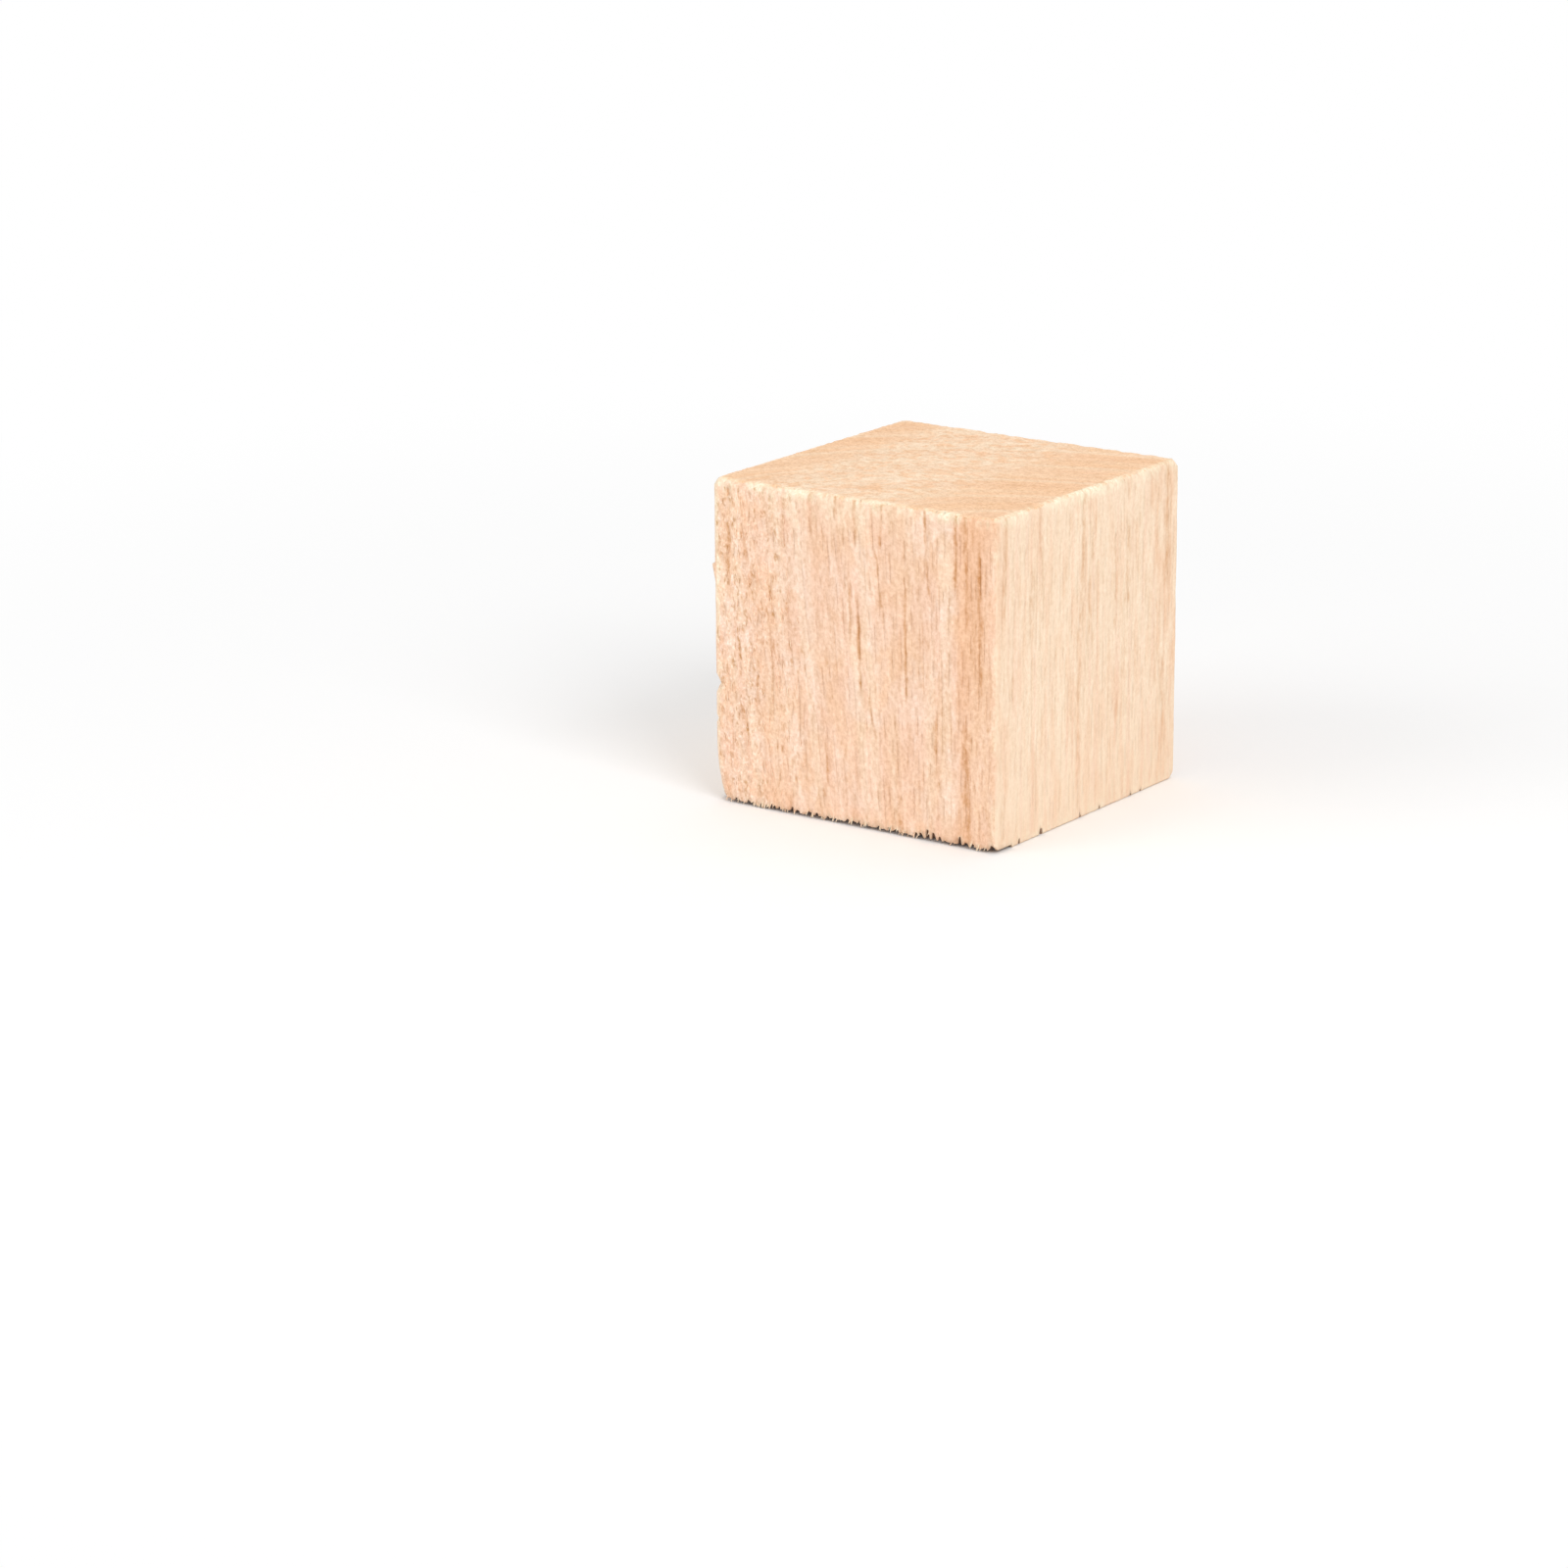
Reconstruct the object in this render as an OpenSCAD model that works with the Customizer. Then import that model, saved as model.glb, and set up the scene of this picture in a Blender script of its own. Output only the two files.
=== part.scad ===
// Cube of bare hardwood, sawn from a planed square stick and left unfinished.
//
// It is one solid piece. The grain runs along Z, so the four sides are long grain and the
// top and bottom are the sawn ends. The origin is the middle of the bottom, on the surface
// that the cube rests on. The front is -Y and the right is +X.
//
// The saw left the stick at the foot of the front and tore the fibres there. That ragged
// edge is a comb of fibre tips with splintered gaps between them.

/* [Cube] */
// Width of the stick, side to side
cube_w = 40.4; // [20:0.1:80]
// Depth of the stick, front to back
cube_d = 39.7; // [20:0.1:80]
// Length sawn off the stick, along the grain
cube_h = 39.9; // [20:0.1:80]

/* [Eased edges] */
// Radius along the four edges that follow the grain
side_edge_r = 0.45; // [0.2:0.05:1.5]
// Radius round the top end
top_edge_r = 0.6; // [0.2:0.05:1.5]
// Radius round the bottom end
bottom_edge_r = 0.3; // [0.2:0.05:1.5]
// How far each corner is rubbed back from where a sharp one would be
corner_wear = 0.7; // [0:0.05:2]

/* [Torn front edge] */
// Mean distance from one fibre tip to the next
tear_pitch = 0.9; // [0.6:0.05:3]
// Height of the tallest gap between the tips
tear_h = 1.95; // [0.8:0.05:4]
// How far the gaps reach in from the front face
tear_depth = 2.2; // [0.5:0.1:3]
// How far the low hollow under the fibre tips reaches in
hollow_depth = 3.8; // [3.5:0.1:6]
// Height of the hollow behind the gaps
hollow_h = 0.5; // [0.1:0.05:0.6]
// Height of the gaps away from the worst of the tear
calm_h = 1.1; // [0.7:0.05:4]
// Distance of the worst of the tear from the right side
worst_from_right = 7; // [2:0.5:18]
// Length of edge over which the tear dies down, each way from its worst
worst_reach = 4; // [2:0.5:20]
// Most that a whole fibre tip ends above the bottom
tip_lift = 0.5; // [0.05:0.01:0.6]
// Width of a fibre tip
tip_w = 0.14; // [0.05:0.01:0.2]
// Share of the room between two tips that the top of their gap takes
gap_share = 0.5; // [0.2:0.05:0.7]
// Distances of the loose splinters from the left side
splinter_places = [7.3, 16.2, 17.9, 30.4, 35.0]; // [2:0.1:38]
// Radius of a loose splinter where it leaves the wood
splinter_r = 0.13; // [0.08:0.01:0.3]
// How far a splinter leans to the left on its way down
splinter_lean = 0.65; // [0:0.05:2]

/* [Front left edge] */
// Height up to which the foot of the edge is worn away
foot_h = 8; // [2:0.5:9]
// How much is gone from the edge at the bottom
foot_cut = 1.2; // [0.2:0.05:2]
// Height of the chip in the edge, where it is deepest
chip_z = 14.4; // [12:0.1:18]
// Length of the chip
chip_len = 2.4; // [1:0.1:4]
// Depth of the chip
chip_cut = 0.65; // [0.1:0.05:1.5]
// Height of the small chip below it
small_chip_z = 10.1; // [9.5:0.1:11]
// Length of the small chip
small_chip_len = 1.1; // [0.3:0.1:1.2]
// Depth of the small chip
small_chip_cut = 0.25; // [0.05:0.05:0.6]
// Distance of the lifted fibre's tip below the top
sprig_down = 10.6; // [3:0.1:16]
// Length of the lifted fibre
sprig_len = 2.2; // [0.5:0.1:4]
// How far its tip stands off the edge
sprig_out = 0.35; // [0.1:0.05:0.6]
// Thickness of the lifted fibre
sprig_t = 0.16; // [0.1:0.01:0.4]

/* [Dents and pits] */
// Mean distance between the dents in the front and right edges of the top
dent_gap = 2.4; // [1.5:0.1:10]
// Depth of the deepest dent
dent_cut = 0.2; // [0.05:0.01:0.5]
// Radius of the widest dent
dent_r = 1.1; // [0.6:0.1:4]
// Mean distance between the nicks in the right edge of the bottom
nick_gap = 5.5; // [3:0.1:15]
// Depth of the deepest nick
nick_cut = 0.8; // [0.1:0.05:1]
// Width of the widest nick
nick_w = 0.7; // [0.2:0.05:2]
// Radius of the pit in the front, near the top left corner
pit_r = 0.28; // [0.15:0.01:0.35]
// Length of the pit
pit_len = 1.1; // [0.8:0.05:3]
// Distance of the pit from the left side
pit_from_left = 2.1; // [1:0.1:8]
// Distance of the pit below the top
pit_down = 1.6; // [1.2:0.1:8]

/* [Hidden] */
wood = [0.93, 0.76, 0.59];
$fn = 48;
// How far a cutter runs past the surface that it cuts
past = 1;
// Each seed gives one order of tips, dents or nicks
tear_seed = 841;
dent_seed = 5;
nick_seed = 3150;

// How far an edge rounded at r lies inside the sharp one, measured at 45 degrees
function eased(r) = r * (sqrt(2) - 1);

// Blank ----------------------------------------------------------------------------------

// Rectangle a by b about its middle, with corners rounded at top_r above and low_r below
module eased_rect(a, b, top_r, low_r) {
    high = b / 2 - top_r;
    low = -b / 2 + low_r;
    translate([-a / 2, low]) square([a, high - low]);
    translate([-a / 2 + top_r, low]) square([a - 2 * top_r, b / 2 - low]);
    translate([-a / 2 + low_r, -b / 2]) square([a - 2 * low_r, b / 2 + high]);
    for (side = [-1, 1]) {
        translate([side * (a / 2 - top_r), high]) circle(top_r);
        translate([side * (a / 2 - low_r), low]) circle(low_r);
    }
}

// The sawn length of stick, eased along the grain and round both ends
module blank() {
    half_diagonal = norm([cube_w, cube_d, cube_h]) / 2;
    intersection() {
        linear_extrude(cube_h) eased_rect(cube_w, cube_d, side_edge_r, side_edge_r);
        translate([0, cube_d / 2 + past, cube_h / 2]) rotate([90, 0, 0])
            linear_extrude(cube_d + 2 * past)
                eased_rect(cube_w, cube_h, top_edge_r, bottom_edge_r);
        translate([-cube_w / 2 - past, 0, cube_h / 2]) rotate([90, 0, 90])
            linear_extrude(cube_w + 2 * past)
                eased_rect(cube_d, cube_h, top_edge_r, bottom_edge_r);
        translate([0, 0, cube_h / 2]) sphere(half_diagonal - corner_wear, $fn = 96);
    }
}

// Torn front edge ------------------------------------------------------------------------

tear_count = round(cube_w / tear_pitch);
tear_step = cube_w / tear_count;
tip_shift = rands(-0.25, 0.25, tear_count + 1, tear_seed);
tip_size = rands(0.7, 1, tear_count + 1, tear_seed + 1);
tip_luck = rands(0, 1, tear_count + 1, tear_seed + 2);
gap_size = rands(0, 1, tear_count, tear_seed + 3);
gap_skew = rands(0, 1, tear_count, tear_seed + 4);
// Share of the tips that broke off short, and how far up the tallest gaps there they end
short_share = 0.22;
short_end = 0.6;
// Power that makes low gaps commoner than tall ones
low_gaps = 1.2;

// Height that the gaps may reach at x
function torn_h(x) =
    let (off = (x - cube_w / 2 + worst_from_right) / worst_reach)
    calm_h + (tear_h - calm_h) * exp(-off * off);
// Middle of tip i, and the height at which it ends
function tip_x(i) = -cube_w / 2 + (i + tip_shift[i]) * tear_step;
function tip_z(i) =
    tip_size[i] * (tip_luck[i] < short_share ? short_end * torn_h(tip_x(i)) : tip_lift);
// Width of the top of the gap between tips i and i + 1, and its left end and its height
function gap_w(i) = gap_share * (tip_x(i + 1) - tip_x(i) - tip_w);
function gap_x(i) =
    let (room = tip_x(i + 1) - tip_x(i) - tip_w - gap_w(i))
    tip_x(i) + tip_w / 2 + gap_skew[i] * room;
function gap_z(i) =
    let (base = max(tip_z(i), tip_z(i + 1)))
    base + (torn_h(gap_x(i)) - base) * pow(gap_size[i], low_gaps);

// Outline of the missing wood under the edge, seen from the front
function tear_outline() = concat(
    [[-cube_w / 2 - past, -past], [-cube_w / 2 - past, tip_z(0)]],
    [for (i = [0 : tear_count - 1]) each [
        [tip_x(i) + tip_w / 2, tip_z(i)],
        [gap_x(i), gap_z(i)],
        [gap_x(i) + gap_w(i), gap_z(i) - gap_w(i) / 4],
        [tip_x(i + 1) - tip_w / 2, tip_z(i + 1)]
    ]],
    [[cube_w / 2 + past, tip_z(tear_count)], [cube_w / 2 + past, -past]]
);

// The missing wood: gaps that narrow a little as they rise, over a low hollow that runs
// further in
module torn_edge() {
    roof = 1.05 * tear_h;
    intersection() {
        translate([0, -cube_d / 2 + hollow_depth + past, 0]) rotate([90, 0, 0])
            linear_extrude(hollow_depth + 2 * past) polygon(tear_outline());
        translate([-cube_w / 2 - 2 * past, -cube_d / 2, 0]) rotate([90, 0, 90])
            linear_extrude(cube_w + 4 * past) polygon([
                [hollow_depth, -2 * past],
                [hollow_depth, 0],
                [hollow_depth - hollow_h, hollow_h],
                [tear_depth, hollow_h],
                [0.75 * tear_depth, roof],
                [-2 * past, roof],
                [-2 * past, -2 * past]
            ]);
    }
}

// Splinter that hangs from the wood above gap i and leans across the gap
module splinter(i) {
    root_z = gap_z(i) + 3 * splinter_r;
    fall = [-splinter_lean, splinter_r / 2 - root_z];
    translate([gap_x(i) + gap_w(i) / 2, -cube_d / 2 + 1.3 * splinter_r, root_z])
        rotate([0, atan2(fall[0], fall[1]), 0])
            cylinder(h = norm(fall), r1 = splinter_r, r2 = splinter_r / 3, $fn = 16);
}

module splinters() {
    for (place = splinter_places)
        splinter(min(round(place / tear_step - 0.5), tear_count - 2));
}

// Front left edge ------------------------------------------------------------------------

// Here X runs straight out of the rounded edge, and Z up it
module at_front_left_edge() {
    translate([-cube_w / 2, -cube_d / 2, 0]) rotate([0, 0, 225])
        translate([-eased(side_edge_r), 0, 0]) children();
}

// Prism across the edge, with its outline given in that X and Z
module across_front_left_edge(outline, width) {
    at_front_left_edge() translate([0, width / 2, 0]) rotate([90, 0, 0])
        linear_extrude(width) polygon(outline);
}

// Wood rubbed off the foot of the edge, in a curve that steepens towards the bottom
module worn_foot() {
    curve_r = (foot_h * foot_h + foot_cut * foot_cut) / (2 * foot_cut);
    reach = foot_cut + side_edge_r + past;
    at_front_left_edge() difference() {
        translate([-2 * foot_cut, -reach, -past]) cube([2 * foot_cut + past, 2 * reach, foot_h + past]);
        translate([-curve_r, reach + past, foot_h]) rotate([90, 0, 0])
            cylinder(h = 2 * (reach + past), r = curve_r, $fn = 180);
    }
}

// Chip knocked out of the edge at height z, where it is `cut` deep, with more of its length
// above that point than below
module edge_chip(z, length, cut) {
    slope = past / cut;
    above = 0.6 * length;
    below = 0.4 * length;
    across_front_left_edge([
        [past, z + above * (1 + slope)],
        [-cut, z],
        [past, z - below * (1 + slope)]
    ], 2 * (cut + past));
}

// Lifted fibre, rooted below and standing off the edge at its upper end
module edge_sprig() {
    tip_height = cube_h - sprig_down;
    across_front_left_edge([
        [-sprig_out, tip_height + sprig_out / 2],
        [-sprig_out, tip_height - sprig_len],
        [0, tip_height - sprig_len],
        [sprig_out, tip_height],
        [0, tip_height + sprig_out / 2]
    ], sprig_t);
}

// Dents, nicks and the pit ---------------------------------------------------------------

// Here X runs along an edge of the top or bottom and Z straight out of the rounded edge
module at_front_top_edge() {
    translate([0, -cube_d / 2, cube_h]) rotate([45, 0, 0])
        translate([0, 0, -eased(top_edge_r)]) children();
}

module at_right_top_edge() {
    translate([cube_w / 2, 0, cube_h]) rotate([0, 0, 90]) rotate([45, 0, 0])
        translate([0, 0, -eased(top_edge_r)]) children();
}

module at_right_bottom_edge() {
    translate([cube_w / 2, 0, 0]) rotate([0, 0, 90]) rotate([135, 0, 0])
        translate([0, 0, -eased(bottom_edge_r)]) children();
}

// Rounded dents in a row along an edge of the given length
module dents(length, seed) {
    count = floor(length / dent_gap) - 2;
    shift = rands(-0.35, 0.35, count, seed);
    size = rands(0.35, 1, count, seed + 1);
    for (i = [0 : count - 1])
        translate([(i - (count - 1) / 2 + shift[i]) * dent_gap, 0, size[i] * (dent_r - dent_cut)])
            rotate([90, 0, 0])
                cylinder(h = 4 * past, r = size[i] * dent_r, center = true, $fn = 32);
}

// Sharp nicks in a row along an edge of the given length
module nicks(length, seed) {
    count = floor(length / nick_gap) - 1;
    shift = rands(-0.35, 0.35, count, seed);
    size = rands(0.25, 1, count, seed + 1);
    for (i = [0 : count - 1])
        translate([(i - (count - 1) / 2 + shift[i]) * nick_gap, 2 * past, 0])
            rotate([90, 0, 0]) linear_extrude(4 * past) polygon([
                [-nick_w * size[i], nick_cut * size[i]],
                [0, -nick_cut * size[i]],
                [nick_w * size[i], nick_cut * size[i]]
            ]);
}

// Pit with round ends, its long axis a little off the grain
module pit() {
    half = pit_len / 2 - pit_r;
    translate([-cube_w / 2 + pit_from_left, -cube_d / 2, cube_h - pit_down]) rotate([0, 15, 0]) {
        cylinder(h = 2 * half, r = pit_r, center = true);
        for (end = [-1, 1]) translate([0, 0, end * half]) sphere(pit_r);
    }
}

// Cube -----------------------------------------------------------------------------------

module cube_piece() {
    color(wood) union() {
        difference() {
            blank();
            torn_edge();
            worn_foot();
            edge_chip(chip_z, chip_len, chip_cut);
            edge_chip(small_chip_z, small_chip_len, small_chip_cut);
            pit();
            at_front_top_edge() dents(cube_w, dent_seed);
            at_right_top_edge() dents(cube_d, dent_seed + 10);
            at_right_bottom_edge() nicks(cube_d, nick_seed);
        }
        splinters();
        edge_sprig();
    }
}

cube_piece();  // cube
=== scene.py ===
"""Looks of the wooden cube: open pores, raised and torn fibres, and the wood itself.

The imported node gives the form. Its flat sides are meshed again here, so that pores can be cut
into them, and its rounded edges are sliced, so that they can be rubbed uneven. The grain runs
along Z. The cube and its wood are worked out in millimetres, the camera and the stage in metres.
"""

import random
from math import ceil, cos, pi, radians, sin

import bmesh
import bpy
from mathutils import Euler, Matrix, Vector, noise
from mathutils.bvhtree import BVHTree
from mathutils.geometry import delaunay_2d_cdt
from mathutils.kdtree import KDTree


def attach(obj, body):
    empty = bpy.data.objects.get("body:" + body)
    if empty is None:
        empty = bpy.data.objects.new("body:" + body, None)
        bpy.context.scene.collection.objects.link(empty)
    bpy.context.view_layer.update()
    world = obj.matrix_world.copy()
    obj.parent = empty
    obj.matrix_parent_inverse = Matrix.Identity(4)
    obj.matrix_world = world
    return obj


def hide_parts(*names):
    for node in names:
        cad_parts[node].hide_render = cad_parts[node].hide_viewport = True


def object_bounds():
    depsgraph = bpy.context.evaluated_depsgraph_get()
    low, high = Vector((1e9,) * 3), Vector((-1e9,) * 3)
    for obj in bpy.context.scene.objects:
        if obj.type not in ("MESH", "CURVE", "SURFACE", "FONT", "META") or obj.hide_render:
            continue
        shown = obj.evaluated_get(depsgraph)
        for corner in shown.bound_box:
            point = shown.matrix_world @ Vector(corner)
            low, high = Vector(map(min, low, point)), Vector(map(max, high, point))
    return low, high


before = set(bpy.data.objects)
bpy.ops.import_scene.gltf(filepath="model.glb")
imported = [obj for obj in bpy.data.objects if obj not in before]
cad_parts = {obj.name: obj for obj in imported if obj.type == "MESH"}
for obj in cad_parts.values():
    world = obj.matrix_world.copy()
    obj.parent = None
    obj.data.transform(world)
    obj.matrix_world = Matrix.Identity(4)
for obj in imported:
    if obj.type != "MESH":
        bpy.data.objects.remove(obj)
cad_box = [list(corner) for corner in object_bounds()]

MM = 0.001
# Where the flat sides lie, in millimetres. Splinters reach a little past the left and the front
X_RIGHT, Y_BACK, Z_TOP = (round(place / MM, 2) for place in cad_box[1])
X_LEFT, Y_FRONT = -X_RIGHT, -Y_BACK

# Camera ---------------------------------------

CAMERA_AT = Vector((0.3247, -0.4806, 0.1694))
CAMERA_AZIMUTH = radians(36.0)
CAMERA_PITCH = radians(16.23)
CAMERA_ROLL = radians(-0.39)
CAMERA_SEES = (0.01, 20.0)
LENS_MM = 114.0
SENSOR_MM = 36.0


def make_camera():
    """The camera of the photograph: a long lens, seen a little from above."""
    data = bpy.data.cameras.new("camera")
    data.lens = LENS_MM
    data.sensor_width = SENSOR_MM
    data.clip_start, data.clip_end = CAMERA_SEES
    camera = bpy.data.objects.new("camera", data)
    level = Euler((radians(90) - CAMERA_PITCH, 0, CAMERA_AZIMUTH)).to_matrix()
    turned = level @ Matrix.Rotation(CAMERA_ROLL, 3, "Z")
    camera.matrix_world = Matrix.LocRotScale(CAMERA_AT, turned, None)
    bpy.context.collection.objects.link(camera)
    bpy.context.scene.camera = camera


# Sides and their relief -----------------------


class Side:
    """One flat side of the cube. u and v are its own axes, and v follows the grain if it can."""

    def __init__(self, name, normal, u, v, step_u, step_v, relief):
        self.name = name
        self.normal = Vector(normal)
        self.u = Vector(u)
        self.v = Vector(v)
        self.step_u = step_u
        self.step_v = step_v
        self.relief = relief
        self.level = None
        self.plan = None

    def flat(self, point):
        """The place on the side, as u and v, that a point stands over."""
        return Vector((point.dot(self.u), point.dot(self.v)))

    def solid(self, at, height=0.0):
        """The point at a height over a place on the side."""
        return self.u * at[0] + self.v * at[1] + self.normal * (self.level + height)

    def covers(self, at):
        """Whether the side's own faces, as CAD made them, cover a place."""
        return self.plan.ray_cast(Vector((*at, 1)), Vector((0, 0, -1)))[0] is not None


def smooth(x, low, high):
    """Goes from 0 to 1, with soft ends, as x goes from low to high."""
    t = min(max((x - low) / (high - low), 0.0), 1.0)
    return t * t * (3 - 2 * t)


def ridges(at, width, length, seed):
    """Noise drawn out along the grain, from -1 to 1."""
    return noise.noise(Vector((at[0] / width, at[1] / length, seed)))


# Heights of the relief. All of it is sunk, so that it stays inside the box of the CAD model
WAVES = 0.02
RIDGES = 0.012
TORN_RIDGES = 0.03
SINK = 0.03


def planed(at, side):
    """Height of a planed side: soft waves, finer ridges and the rougher torn patch."""
    seed = side.level
    height = WAVES * ridges(at, 3.0, 30.0, seed) + RIDGES * ridges(at, 0.6, 9.0, seed + 5)
    rough = fuzz(at, side)
    if rough > 0:
        wander = 0.5 * ridges(at, 1.5, 3.0, seed + 9)
        moved = (at[0] + wander, at[1])
        height += TORN_RIDGES * rough * ridges(moved, 0.45, 1.3, seed + 7)
    return height - SINK


def sawn(at, side):
    """Height of a sawn end, whose waves and ridges are as wide as they are long."""
    waves = WAVES * ridges(at, 4.0, 4.0, side.level)
    return waves + RIDGES * ridges(at, 0.5, 0.5, 3.0) - SINK


# Name, outward normal, directions of u and v, steps of the mesh along u and v, and relief
SIDES = [
    Side("front", (0, -1, 0), (1, 0, 0), (0, 0, 1), 0.24, 0.8, planed),
    Side("right", (1, 0, 0), (0, 1, 0), (0, 0, 1), 0.28, 1.1, planed),
    Side("back", (0, 1, 0), (-1, 0, 0), (0, 0, 1), 0.34, 1.3, planed),
    Side("left", (-1, 0, 0), (0, -1, 0), (0, 0, 1), 0.34, 1.3, planed),
    Side("top", (0, 0, 1), (1, 0, 0), (0, 1, 0), 0.42, 0.42, sawn),
    Side("bottom", (0, 0, -1), (-1, 0, 0), (0, 1, 0), 0.6, 0.6, sawn),
]
FRONT = SIDES[0]

FUZZ_REACH = 13.0
FUZZ_WANDER = 3.5
FUZZ_FADE = (-8.0, 3.0)


def fuzz(at, side):
    """How torn the grain is: 1 at the left of the front, and 0 on the other sides."""
    if side.name != "front":
        return 0.0
    edge = X_LEFT + FUZZ_REACH + FUZZ_WANDER * ridges(at, 4.0, 9.0, 1.7)
    return 1 - smooth(at[0], edge + FUZZ_FADE[0], edge + FUZZ_FADE[1])


LEAN = 0.09
LEAN_ENDS = (-6.0, 18.0)
LEAN_ELSEWHERE = 0.01


def lean(at, side):
    """Sideways run of the grain for each millimetre up the side."""
    if side.name not in ("front", "back"):
        return LEAN_ELSEWHERE
    x = side.solid(at).x
    return side.u.x * -LEAN * (1 - smooth(x, *LEAN_ENDS))


# How squarely a face of a flat side looks outwards, how far off level it may be, and how far
# off the side a point of its rim may be
SQUARE = 0.9999
LEVEL = 1e-4
ON_SIDE = 1e-3


def find_flats(bm):
    """Tags each face of a flat side with that side's number, counted from 1."""
    tag = bm.faces.layers.int.new("side")
    for number, side in enumerate(SIDES, start=1):
        planes = {}
        for face in bm.faces:
            levels = [v.co.dot(side.normal) for v in face.verts]
            if face.normal.dot(side.normal) > SQUARE and max(levels) - min(levels) < LEVEL:
                planes.setdefault(round(levels[0], 3), []).append(face)
        areas = {level: sum(f.calc_area() for f in faces) for level, faces in planes.items()}
        side.level = max(areas, key=areas.get)
        side.plan = plan_of(planes[side.level], side)
        for face in planes[side.level]:
            face[tag] = number
    return tag


def plan_of(faces, side):
    """A tree of the flat side's own triangles, to tell whether it covers a place."""
    corners = [(*side.flat(v.co), 0) for f in faces for v in f.verts]
    runs = [(i, i + 1, i + 2) for i in range(0, len(corners), 3)]
    return BVHTree.FromPolygons(corners, runs)


# Rounded edges --------------------------------

TEAR_TOP = 2.4
TEAR_BACK = Y_FRONT + 3.95


def in_tear(point):
    """Whether a point is in the torn foot of the front, which keeps the form that CAD gave it."""
    return point.z < TEAR_TOP and point.y < TEAR_BACK


# Steps between the cuts across X, Y and Z, and by how much they vary. The cuts stay clear of the
# ends, and move to a point that is nearly on them
SLICES = (0.3, 0.3, 0.8)
SLICE_VARIES = (0.7, 1.3)
SLICE_MARGIN = 1.0
SLICE_SNAP = 0.02
SLICE_SEED = 3


def slice_edges(bm, tag):
    """Drops the flats, and cuts the rounded edges across at short steps, away from the tear."""
    bmesh.ops.delete(bm, geom=[f for f in bm.faces if f[tag]], context="FACES")
    draw = random.Random(SLICE_SEED)
    body = [f for f in bm.faces if not in_tear(f.calc_center_median())]
    geometry = list(dict.fromkeys([x for f in body for x in (f, *f.edges, *f.verts)]))
    for axis, step in enumerate(SLICES):
        normal = Vector([float(i == axis) for i in range(3)])
        spots = [v.co[axis] for v in bm.verts]
        at = min(spots) + SLICE_MARGIN
        while at < max(spots) - SLICE_MARGIN:
            geometry = bmesh.ops.bisect_plane(
                bm, geom=geometry, dist=SLICE_SNAP, plane_co=normal * at, plane_no=normal
            )["geom"]
            at += step * draw.uniform(*SLICE_VARIES)
    bmesh.ops.triangulate(bm, faces=[f for f in bm.faces if len(f.verts) > 3])


CROWD = 0.085
THIN_PASSES = 12
# Cosine of the angle between two edges of the rim above which they make a corner, and of the
# turn of a face below which it folds over
CORNER = -0.85
FOLD = 0.6


def thin_out(bm):
    """Collapses the short edges that crowd the rounded edges, away from the tear."""
    for _ in range(THIN_PASSES):
        short = [e for e in bm.edges if e.calc_length() < CROWD and not in_tear(e.verts[0].co)]
        short.sort(key=lambda edge: edge.calc_length())
        into, busy = {}, set()
        for edge in short:
            kept, gone = edge.verts
            if gone.is_boundary and not kept.is_boundary:
                kept, gone = gone, kept
            if gone.is_boundary and (not edge.is_boundary or is_corner(gone)):
                continue
            round_kept = {e.other_vert(kept) for e in kept.link_edges}
            round_gone = {e.other_vert(gone) for e in gone.link_edges}
            if kept in busy or gone in busy:
                continue
            if collapses(edge, kept, gone, round_kept & round_gone):
                into[gone] = kept
                busy |= round_kept | round_gone
        if not into:
            break
        bmesh.ops.weld_verts(bm, targetmap=into)


def is_corner(vert):
    """Whether the open rim turns sharply at a point."""
    a, b = (e.other_vert(vert).co - vert.co for e in vert.link_edges if e.is_boundary)
    return a.normalized().dot(b.normalized()) > CORNER


def collapses(edge, kept, gone, shared):
    """Whether an edge can shrink to its kept end with no fold and no pinch."""
    if len(shared) != len(edge.link_faces):
        return False
    for face in gone.link_faces:
        if kept in face.verts:
            continue
        corners = [kept.co if v is gone else v.co for v in face.verts]
        turned = (corners[1] - corners[0]).cross(corners[2] - corners[0])
        if turned.length < 1e-6 or turned.normalized().dot(face.normal) < FOLD:
            return False
    return True


RUB_ALONG = 0.07
RUB_END = 0.17
RUB_RISE = (Z_TOP - 1.9, Z_TOP - 0.7)


def rub_edges(bm, tag):
    """Wears the rounded edges back by uneven amounts, most round the sawn top."""
    for vert in bm.verts:
        if all(face[tag] for face in vert.link_faces) or in_tear(vert.co):
            continue
        place = Vector((vert.co.x, vert.co.y, vert.co.z / 4))
        worn = 0.4 + 0.7 * noise.noise(place / 1.1) + 0.5 * noise.noise(place / 0.4)
        most = RUB_ALONG + (RUB_END - RUB_ALONG) * smooth(vert.co.z, *RUB_RISE)
        vert.co -= vert.normal * most * min(max(worn, 0.0), 1.0)


# Flat sides, meshed again ---------------------

RIM_STEP = 0.1
RIM_FADE = 0.8
# Further than this from the rim, a triangle is surely on the side or surely off it
RIM_DOUBT = 0.3


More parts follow.
